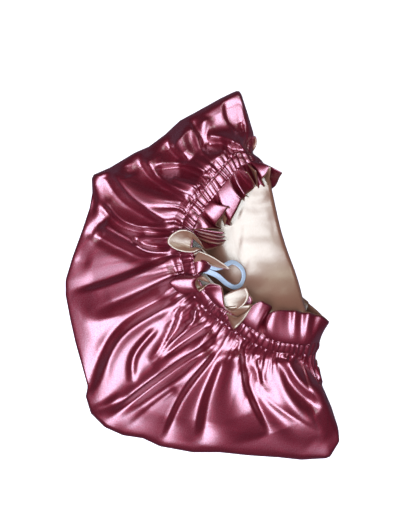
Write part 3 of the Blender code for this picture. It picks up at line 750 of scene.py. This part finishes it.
def crown_stations(near_count, far_count):
    """Section numbers of the stations, spaced by the rim and the outer edge on the side that shows."""
    near_at = np.linspace(0, TURN, 2001)
    near_travel = rim_travel(near_at)
    edge_line = on_ring(np.array([row[:2] for row in VISIBLE + FLOPPED], float), near_at)
    edge_travel = travelled(edge_line)
    pace = near_travel / near_travel[-1] + EDGE_SAY * edge_travel / edge_travel[-1]
    near = np.interp(np.linspace(0, pace[-1], near_count, endpoint=False), pace, near_at)
    return np.concatenate([near, np.linspace(TURN, WHOLE, far_count, endpoint=False)])


def panel_laid(points, edge_row, is_near):
    """Raises the top of the lower layer, which shows as the panel, and lays its soft ridges."""
    rows, panel_rows = points.shape[1], edge_row + 4
    panel = points[:, :panel_rows]
    x, y = panel[..., 0], panel[..., 1]
    down = np.clip(PANEL_LOW["start_y"] - y, 0, PANEL_LOW["reach"]) / PANEL_LOW["reach"]
    low = PANEL_LOW["rise"] * down**1.8
    low *= np.clip((y - PANEL_LOW["back_y"]) / PANEL_LOW["back_reach"], 0, 1)
    high = PANEL_HIGH["rise"] * np.clip((y - PANEL_HIGH["start_y"]) / PANEL_HIGH["reach"], 0, 1) ** 1.5
    before_rim = np.clip((rows - 12 - np.arange(panel_rows)) / 6, 0, 1)[None, :]
    lower_layer = np.where(is_near[:, None], np.arange(panel_rows)[None, :] < edge_row - 2, 1.0)
    off_the_table = np.clip((panel[..., 2] - 3) / 6, 0, 1)
    eased = np.clip((x - PANEL_LEFT_X) / PANEL_LEFT_REACH, 0, 1) * off_the_table * lower_layer * before_rim
    panel[..., 2] += (low + high) * eased
    panel[...] = laid_folds(panel, eased * np.clip((x - WAVES_LEFT_X) / WAVES_LEFT_REACH, 0, 1), PANEL_WAVES)


def crown_points(near_count, far_count, cuts, gather_share, sunk):
    """The crown as it lies, by station and from the centre to the rim, and the way along the cloth.

    sunk says how far it lies inside the face.
    """
    at = crown_stations(near_count, far_count)
    _, ways, _ = cuff_frame(np.arange(WHOLE))
    knots = [visible_knots(row, ways[i], DETOURS.get(i)) for i, row in enumerate(VISIBLE)]
    knots += [flopped_knots(row, ways[i], DETOURS.get(i)) for i, row in enumerate(FLOPPED, TURN + 1)]
    points = through(on_ring(np.array(knots), at), cuts)
    edge_row = sum(cuts[:UNDERSIDE_STRETCHES])
    under = points[:, : edge_row - 2]
    under[..., 2] = np.maximum(under[..., 2], raised(under))
    rows = points.shape[1]
    along = np.clip((np.arange(rows) - edge_row) / (rows - 1 - edge_row), 0, 1)[None, :]
    shown = (np.clip((RELIEF_ENDS - at) / 0.5, 0, 1) * np.clip(at / RELIEF_STARTS, 0, 1))[:, None]
    on_top = np.clip((along - 0.03) / 0.15, 0, 1) * shown
    steps = np.linalg.norm(np.diff(points, axis=1), axis=2)
    run = np.concatenate([np.zeros((len(at), 1)), np.cumsum(steps, axis=1)], axis=1)
    distance = run[:, -1:] - run
    is_near = (at > DRAWN_OUT_FROM) & (at < DRAWN_OUT_TO)
    points[is_near, :, :2] += drawn_out(points[is_near], edge_row, 0.8 * sunk)
    points = laid_folds(points, on_top * np.clip(distance / 5, 0.3, 1), CREASES)
    panel_laid(points, edge_row, is_near)
    travel = rim_travel(at)[:, None]
    relief = sum(gathers(travel, distance, *size) for size in GATHERS)
    points[:, :, 2] += relief * gather_share * on_top * np.clip(distance / 2, 0.35, 1)
    points[:, :, 2] -= sunk * on_top * np.clip(distance / 10, 0, 1)
    floor = np.where(along > 0.1, LEAST_HEIGHT - sunk, 0.0)
    points[:, :, 2] = np.maximum(points[:, :, 2], floor * shown)
    return points, run


def cloth_plan(run):
    """Where each point lies on the round piece of cloth, in metres, with one station more than the mesh."""
    count = len(run)
    angle = np.linspace(0, 2 * math.pi, count + 1)
    radius = np.vstack([run, run[:1]]) * MM
    return np.stack([radius * np.cos(angle)[:, None], radius * np.sin(angle)[:, None]], axis=-1)


CROWN_TOP = (-60, -9, 45)  # a place over the crown where its cloth looks up


def looks_out(mesh):
    """Turns the crown's mesh over if its face nearest to the top doesn't look up."""
    sheet = bmesh.new()
    sheet.from_mesh(mesh)
    sheet.normal_update()
    spot = np.array(CROWN_TOP) * MM
    nearest = min(sheet.faces, key=lambda face: np.linalg.norm(np.array(face.calc_center_median()) - spot))
    if nearest.normal.z < 0:
        bmesh.ops.reverse_faces(sheet, faces=sheet.faces)
    sheet.to_mesh(mesh)
    sheet.free()
    return mesh


def give_thickness(piece, offset):
    """Makes a sheet a ply of cloth, thickened inwards at an offset of -1 and to both sides at 0."""
    wall = piece.modifiers.new("wall", "SOLIDIFY")
    wall.thickness = CLOTH_THICK * MM
    wall.offset = offset


rose = satin(
    "rose_satin",
    shade=(0.035, 0.0008, 0.004),
    light=(0.055, 0.0015, 0.006),
    surface={
        "Specular Tint": (0.95, 0.01, 0.075, 1),
        "IOR": 2.85,
        "Roughness": 0.52,
        "Coat IOR": 2.65,
        "Coat Roughness": 0.31,
    },
    crumples=60,
    crumple=0.45,
)
face_points, face_run = crown_points(NEAR_STATIONS, FAR_STATIONS, FACE_CUTS, gather_share=1.0, sunk=0.0)
face_mesh = looks_out(grid_mesh("satin_crown", face_points, cloth_plan(face_run)))
satin_crown = add_piece("satin_crown", face_mesh, rose)
give_thickness(satin_crown, -1)
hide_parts("crown_face")


# --------------------
# Crown lining.
# The champagne satin inside of the bag, cut and gathered with the face and a little smaller. It shows
# as the smooth panel in the mouth, where the lower layer lies folded over its own rim.
# --------------------

PLY_GAP = 1.1
LINING_SUNK = 3.0
LINING_CUTS = (6, 24, 2, 3, 4, 8, 7, 5)
LINING_FAR_STATIONS = 150
TOP_STATION, TOP_BEFORE_RIM = 170, 12  # a point of the lining where the crown's top looks up


def grid_normals(points):
    """Unit normals of points[station, row], smooth over the neighbours."""
    round_way = np.roll(points, -1, axis=0) - np.roll(points, 1, axis=0)
    return turned(np.cross(round_way, np.gradient(points, axis=1)))


champagne = satin(
    "champagne_satin",
    shade=(0.2, 0.085, 0.045),
    light=(0.26, 0.12, 0.065),
    surface={
        "Specular Tint": (0.84, 1.0, 0.68, 1),
        "IOR": 2.3,
        "Roughness": 0.36,
        "Coat IOR": 1.5,
        "Coat Roughness": 0.3,
    },
    crumples=45,
    crumple=0.5,
)
lining_points, lining_run = crown_points(
    NEAR_STATIONS, LINING_FAR_STATIONS, LINING_CUTS, gather_share=0.0, sunk=LINING_SUNK
)
lining_normals = grid_normals(lining_points)
lining_normals *= np.sign(lining_normals[TOP_STATION, -TOP_BEFORE_RIM, 2])
lining_normals[:, 0] = (0, 0, -1)
lining_points = lining_points - lining_normals * PLY_GAP
lining_mesh = looks_out(grid_mesh("satin_lining", lining_points, cloth_plan(lining_run)))
satin_lining = add_piece("satin_lining", lining_mesh, champagne)
give_thickness(satin_lining, -1)
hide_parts("crown_lining")


# --------------------
# Elastic casing.
# A channel half an inch wide along the whole rim, stitched down on both sides, with flat elastic drawn
# through it. The elastic gathers the satin into short puffs between the two rows of stitches.
# --------------------

CASING_WIDTH = 12.5
CASING_PROUD = 0.7
CASING_DEPTH = 3.7
CASING_STATIONS = 1300
PUFF_PITCH = 5.0
PUFF_HEIGHT = 1.2
PUFF_SLANT, PUFF_FAN = 0.5, 0.35  # how far a puff lies askew along the rim, and how far it fans out
PUFF_SIZE, PUFF_VARIES, PUFF_LUMPS, PUFF_BASE = 0.8, 0.6, 0.35, 0.55
STITCH_ROWS = (0.11, 0.89)
STITCH_PULL, STITCH_REACH = 0.4, 0.06
OVER_THE_TOP = 17
UNDERNEATH = (
    # share of the width, drop below the top
    (1.0, 2.6),
    (0.9, CASING_DEPTH),
    (0.5, CASING_DEPTH + 0.1),
    (0.1, CASING_DEPTH),
    (0.0, 2.6),
)
CLOTH_TO_RIM = 2.6  # how much longer the cloth is than the rim that it is drawn up to
CASING_CLOTH = 0.032  # metres of cloth round the channel

ring_at = np.linspace(0, WHOLE, 6401)
ring_travel = rim_travel(ring_at)
casing_travel = np.linspace(0, ring_travel[-1], CASING_STATIONS, endpoint=False)
casing_at = np.interp(casing_travel, ring_travel, ring_at)
casing_root, casing_way, casing_face = cuff_frame(casing_at % WHOLE)
across = np.linspace(0, 1, OVER_THE_TOP)
pitch = ring_travel[-1] / round(ring_travel[-1] / PUFF_PITCH)
places = casing_travel[:, None] / pitch
blend = np.clip(np.minimum(casing_at, WHOLE - casing_at) / 0.5, 0, 1)[:, None]
slant = PUFF_SLANT * wander(51, places / 2.3) + PUFF_FAN * wander(52, places / 1.7) * (across[None, :] - 0.5)
slanted = places + slant * blend
size = PUFF_SIZE + PUFF_VARIES * wander(54, np.round(slanted))
rib = size * crests(slanted, PUFF_BASE)
lump = PUFF_LUMPS * wander(53, places / 1.4 + 3 * across[None, :]) * blend
held_down = np.ones_like(across)
for row in STITCH_ROWS:
    held_down *= 1 - STITCH_PULL * np.exp(-(((across - row) / STITCH_REACH) ** 2))
bulge = np.sin(math.pi * np.clip(across, 0.02, 0.98)) ** 0.45
height = (CASING_PROUD + 0.5) * (0.15 + 0.85 * bulge * held_down) - 0.5
height = height[None, :] + PUFF_HEIGHT * (rib + lump) * (0.3 + 0.7 * held_down)[None, :]
top_side = (
    casing_root[:, None]
    + casing_way[:, None] * (across * CASING_WIDTH)[None, :, None]
    + casing_face[:, None] * height[..., None]
)
under_side = [
    casing_root + casing_way * (share * CASING_WIDTH) + casing_face * (CASING_PROUD - drop)
    for share, drop in UNDERNEATH
]
casing_points = np.concatenate([top_side, np.stack(under_side, axis=1), top_side[:, :1]], axis=1)
casing_cloth = np.zeros((CASING_STATIONS + 1, casing_points.shape[1], 2))
casing_cloth[..., 0] = np.linspace(0, CLOTH_TO_RIM * ring_travel[-1] * MM, CASING_STATIONS + 1)[:, None]
casing_cloth[..., 1] = np.linspace(0, CASING_CLOTH, casing_points.shape[1])[None, :]
casing_mesh = closed_up(grid_mesh("gathered_casing", casing_points, casing_cloth))
gathered_casing = add_piece("gathered_casing", casing_mesh, rose)
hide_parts("elastic_casing")


# --------------------
# Ruffle.
# Beyond the casing both plies run on for an inch and are sewn together along their edge. Drawn up by
# the elastic, they stand in pleats, curls and cups, some of which show the champagne inside.
# --------------------

RUFFLE_DEPTH = 25.0
RUFFLE_LONG = 1.6  # metres round the cloth's edge before the elastic draws it in
SEAM_GAP = 1.0
RUFFLE_GAP, CLOSER_OVER = 0.65, 0.4  # between the plies, and the outer share over which they draw closer
RUFFLE_ROWS = 20
LINING_PAST = 0.8  # how far the lining's edge stands out past the face's
# The ruffle as it lies, along the rim: where each row starts, what it bends towards, its sewn edge.
PLEATS = (
    # root_at, bend_x, bend_y, bend_z, edge_x, edge_y, edge_z
    (-0.1, 56, 92, 8, 50, 86, 7),
    (0.3, 58, 94, 16, 58, 92, 13),
    (0.55, 62, 96, 27, 70.5, 91.5, 28),
    (0.7, 60, 95, 27, 69, 87, 23),
    (0.82, 57, 91, 18, 65.5, 79.5, 12),
    (0.94, 54, 90, 14, 59.5, 77, 11),
    (1.12, 55, 95, 30, 60.5, 88, 31),
    (1.24, 54, 97, 34, 60.5, 96, 36),
    (1.5, 52, 95, 35, 57, 89.5, 34),
    (1.75, 50, 93, 34, 53, 84.5, 31),
    (1.87, 51, 90, 22, 56, 79, 19),
    (1.98, 48, 89, 22, 51, 78, 19),
    (2.12, 43, 96, 35, 47.5, 92.5, 38),
    (2.24, 45, 90, 23, 49.5, 79, 19),
    (2.4, 41, 89, 23, 45, 79, 19),
    (2.52, 37, 94, 38, 39.5, 91, 39),
    (2.8, 36, 88, 38, 46.5, 80.5, 32),
    (3.0, 39, 82, 26, 46, 77, 19),
    (3.3, 31, 80, 35, 38.5, 71, 32),
    (3.45, 35, 75, 24, 41.5, 69, 18),
    (3.6, 32, 75, 26, 38.5, 66.5, 18),
    (3.75, 27, 76, 36, 35.5, 67.5, 34),
    (4.1, 24, 72, 37, 34.5, 65.5, 34),
    (4.5, 20, 66, 37, 30.5, 57, 33),
    (4.9, 16, 62, 36, 25.5, 47.5, 30),
    (5.1, 18, 55, 24, 26, 44, 15),
    (5.4, 17, 57, 24, 21, 44, 15),
    (5.65, 13, 62, 39, 24.3, 60.5, 36),
    (6.0, 9, 56, 39, 18.5, 53, 36),
    (6.35, 6, 51, 38, 12.3, 44.5, 33),
    (6.55, 7, 46, 28, 17, 41, 17),
    (6.8, 3, 49, 38, 9, 41.5, 36),
    (7.15, 0, 46, 39, 1, 41, 38),
    (7.5, -4, 45, 40, -7.5, 40, 40),
    (7.65, -2, 42, 28, 0, 36, 26),
    (7.8, -2, 41, 36, 4, 38.5, 36),
    (7.9, 4, 40, 37, 18, 38, 36),
    (7.97, 8, 38, 38, 19.3, 36.5, 36),
    (8.04, 4, 36, 34, 8, 35.2, 33),
    (8.11, 8, 35, 36, 19.3, 34, 34),
    (8.18, 8, 34, 34, 19.3, 33, 33),
    (8.26, 2, 33, 31, 7, 32, 30),
    (8.34, 6, 32, 33, 19.5, 31, 31),
    (8.42, 6, 31, 31, 19.3, 29.5, 29),
    (8.5, 1, 30, 29, 6, 28.6, 27),
    (8.58, 4, 29, 29, 18, 27.5, 27),
    (8.7, 2, 28, 27, 14, 25.5, 22),
    (8.78, 0, 27, 36, 4, 23, 38),
    (8.88, -4, 29, 41, 1, 26, 43),
    (8.98, -5, 32, 41.5, -2, 31, 45),
    (9.1, -7, 34, 41.5, -7, 36.5, 46),
    (9.24, -12, 34, 41.5, -13.5, 39.3, 46),
    (9.38, -16, 33, 41.5, -20, 39, 45.5),
    (9.5, -19, 31.5, 41.5, -26, 35.5, 44.5),
    (9.62, -20, 30, 41.5, -29.5, 31, 44),
    (9.74, -20, 28, 41.5, -28.5, 27, 44),
    (9.86, -17, 26, 41.5, -23, 23, 44),
    (10.0, -13, 25, 41.5, -15, 20.7, 44),
    (10.12, -9, 25, 41.5, -7, 20.5, 44),
    (10.22, -5, 25, 41, -1, 22.5, 43.5),
    (10.3, -4, 20, 38, 5, 14, 36),
    (10.38, 0, 16, 38, 16, 8, 35),
    (10.46, 0, 19, 40, 6, 18, 39),
    (10.54, -3, 20, 40, -1, 23, 40),
    (10.62, -3, 15, 36, 4, 8, 33),
    (10.7, -3, 15, 43, 4, 12, 47),
    (10.78, 0, 12, 44, 8, 8.5, 47.8),
    (10.86, 3, 10, 44, 16, 6.3, 48.2),
    (10.94, 6, 10, 44, 25, 5, 48.6),
    (11.02, 4, 12, 44.5, 19, 10.2, 48.7),
    (11.1, 1, 14, 45, 10, 15.8, 48.5),
    (11.18, -2, 16, 45, 2, 19.3, 48.2),
    (11.24, -4, 17, 45, -2, 20.2, 48),
    (11.3, -4, 17, 44, -2.5, 17, 45),
    (11.45, 0, 14, 47, 4, 11, 40),
    (11.65, 1, 9, 48, 9.5, 7, 35),
    (11.85, 1, 5, 47, 5.5, 2.5, 35),
    (12.05, -3, 2, 45, -1, 1, 39),
    (12.2, -2, -2, 42, 7.5, -7, 42),
    (12.35, -34, 1, 45, 1.5, -1, 45),
    (12.5, -46, -3, 48.5, -3.5, -2.8, 49),
    (12.64, -52, -7, 49, -5.5, -7, 49.5),
    (12.78, -46, -13, 47.5, -4.5, -11.5, 48.5),
    (12.92, -34, -20, 45, -1.5, -14.5, 46),
    (13.05, -6, -16, 43, 2.5, -11, 46),
    (13.15, 1, -10, 44, 8, -8, 47),
    (13.3, 8, -9, 45, 16.5, -10, 47),
    (13.5, 9, -14, 48, 18.5, -16, 48),
    (13.7, 9, -20, 48, 19.2, -23, 48),
    (13.88, 11, -26, 46, 20.5, -28.5, 47),
    (14.02, 14, -30, 43, 24.5, -31.5, 46),
    (14.15, 20, -30, 38, 32, -30, 43),
    (14.3, 25, -26, 38, 38, -25.5, 44),
    (14.45, 26, -20, 38, 41.5, -18, 44),
    (14.6, 25, -14, 38, 39, -11, 44),
    (14.7, 24, -19, 32, 41.8, -17, 38),
    (14.82, 26, -24, 31, 44.5, -26, 36),
    (14.92, 18, -30, 32, 26, -41, 30),
    (15.08, 22, -31, 39, 37.5, -35.5, 38),
    (15.26, 24, -28, 42, 44.5, -26.5, 42),
    (15.36, 24, -31, 32, 42, -30, 30),
    (15.5, 22, -35, 32, 29, -44, 31),
    (15.75, 25, -38, 41, 29, -47, 44),
    (16.1, 30, -38, 42, 38, -38, 44),
    (16.5, 36, -37, 44, 45, -27.5, 44),
    (16.9, 43, -38, 44, 52, -23, 43),
    (17.2, 48, -40, 44, 56, -24.5, 42),
    (17.5, 51, -42, 43, 62, -28.5, 38),
    (17.8, 52, -46, 34, 60, -37, 26),
    (18.1, 53, -46, 34, 57, -40, 28),
    (18.4, 55, -47, 42, 58.5, -35.5, 38),
    (18.8, 60, -49, 43, 64, -32, 41),
    (19.4, 67, -50, 41, 71, -31, 39),
    (20.0, 76, -52, 39, 78, -31.5, 36),
    (20.4, 81, -52, 39, 83, -31.5, 37.5),
    (20.9, 87, -53, 37, 89, -33.5, 34),
    (21.4, 92, -53, 37, 95, -33.5, 36),
    (22.0, 97, -54, 35, 101, -35.5, 32),
    (22.6, 101, -54, 32, 107, -37, 31),
    (23.2, 105, -54, 26, 113, -42, 26),
    (24.0, 107, -53, 18, 112.5, -42.5, 19),
    (25.0, 104, -55, 8, 105, -34, 12),
    (26.2, 98, -52, 4, 97, -27, 6),
)
SHOWN_ACROSS_ROW = 7
HIDDEN_STATIONS = 130
HIDDEN_PLEATS = 6
HIDDEN_LIFT = 1.3
HIDDEN_WAVE = 1.8
SHRINKS_OVER, SHRUNK_TO = 6, 0.2  # towards the upper corner, the hidden ruffle lies folded ever shorter

pleat_rows = np.array(PLEATS, float)
rows_at = pleat_rows[:, 0]


def ruffle_points(stations):
    """Points of the ruffle's face, from its root to its sewn edge, for each station."""
    root, way, _ = cuff_frame(stations % WHOLE)
    root = root + way * (CASING_WIDTH - SEAM_GAP)
    hidden_at = np.linspace(rows_at[-1], WHOLE + rows_at[0], 2 * HIDDEN_PLEATS + 3)[1:-1]
    hidden_root, hidden_way, _ = cuff_frame(hidden_at % WHOLE)
    shrinking = np.clip((WHOLE - hidden_at) / SHRINKS_OVER, SHRUNK_TO, 1)[:, None]
    hidden = hidden_root + hidden_way * (CASING_WIDTH + RUFFLE_DEPTH * shrinking)
    hidden[:, 2] = HIDDEN_LIFT + HIDDEN_WAVE * (np.arange(len(hidden_at)) % 2)
    hidden_bend = hidden_root + hidden_way * CASING_WIDTH
    knots = np.vstack([pleat_rows, np.column_stack([hidden_at, hidden_bend, hidden])])
    places = np.interp(stations, [*knots[:, 0], knots[0, 0] + WHOLE], np.arange(len(knots) + 1))
    bend, edge = np.split(on_ring(knots[:, 1:], places), 2, axis=1)
    shares = np.linspace(0, 1, RUFFLE_ROWS)[None, :, None]
    root, bend, edge = root[:, None], bend[:, None], edge[:, None]
    return root * (1 - shares) ** 2 + 2 * bend * shares * (1 - shares) + edge * shares**2


near_stations = np.linspace(rows_at[:-1], rows_at[1:], SHOWN_ACROSS_ROW, endpoint=False, axis=1)
far_stations = np.linspace(rows_at[-1], WHOLE + rows_at[0], HIDDEN_STATIONS, endpoint=False)
ruffle_at = np.concatenate([near_stations.ravel(), far_stations])
frill_points = ruffle_points(ruffle_at)
frill_normals = grid_normals(frill_points)
_, _, frill_out = cuff_frame(ruffle_at % WHOLE)
frill_normals *= np.sign((frill_normals[:, 1] * frill_out).sum(axis=-1).mean())
frill_cloth = np.zeros((len(ruffle_at) + 1, RUFFLE_ROWS, 2))
frill_cloth[..., 0] = np.linspace(0, RUFFLE_LONG, len(ruffle_at) + 1)[:, None]
frill_cloth[..., 1] = np.linspace(0, RUFFLE_DEPTH * MM, RUFFLE_ROWS)[None, :]
near_edge = np.linspace(0, 1, RUFFLE_ROWS)[None, :, None]
lining_offset = RUFFLE_GAP * np.clip(2 - CLOSER_OVER - near_edge, 0, 1) ** 0.5

frill_mesh = grid_mesh("satin_ruffle", frill_points, frill_cloth)
satin_ruffle = add_piece("satin_ruffle", frill_mesh, rose)
give_thickness(satin_ruffle, 0)
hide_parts("ruffle_face")

lining_frill = frill_points - frill_normals * lining_offset
lining_frill[:, -1] += turned(lining_frill[:, -1] - lining_frill[:, -2]) * LINING_PAST
frill_lining_mesh = grid_mesh("satin_ruffle_lining", lining_frill, frill_cloth)
ruffle_lining = add_piece("satin_ruffle_lining", frill_lining_mesh, champagne)
give_thickness(ruffle_lining, 0)
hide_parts("ruffle_lining")
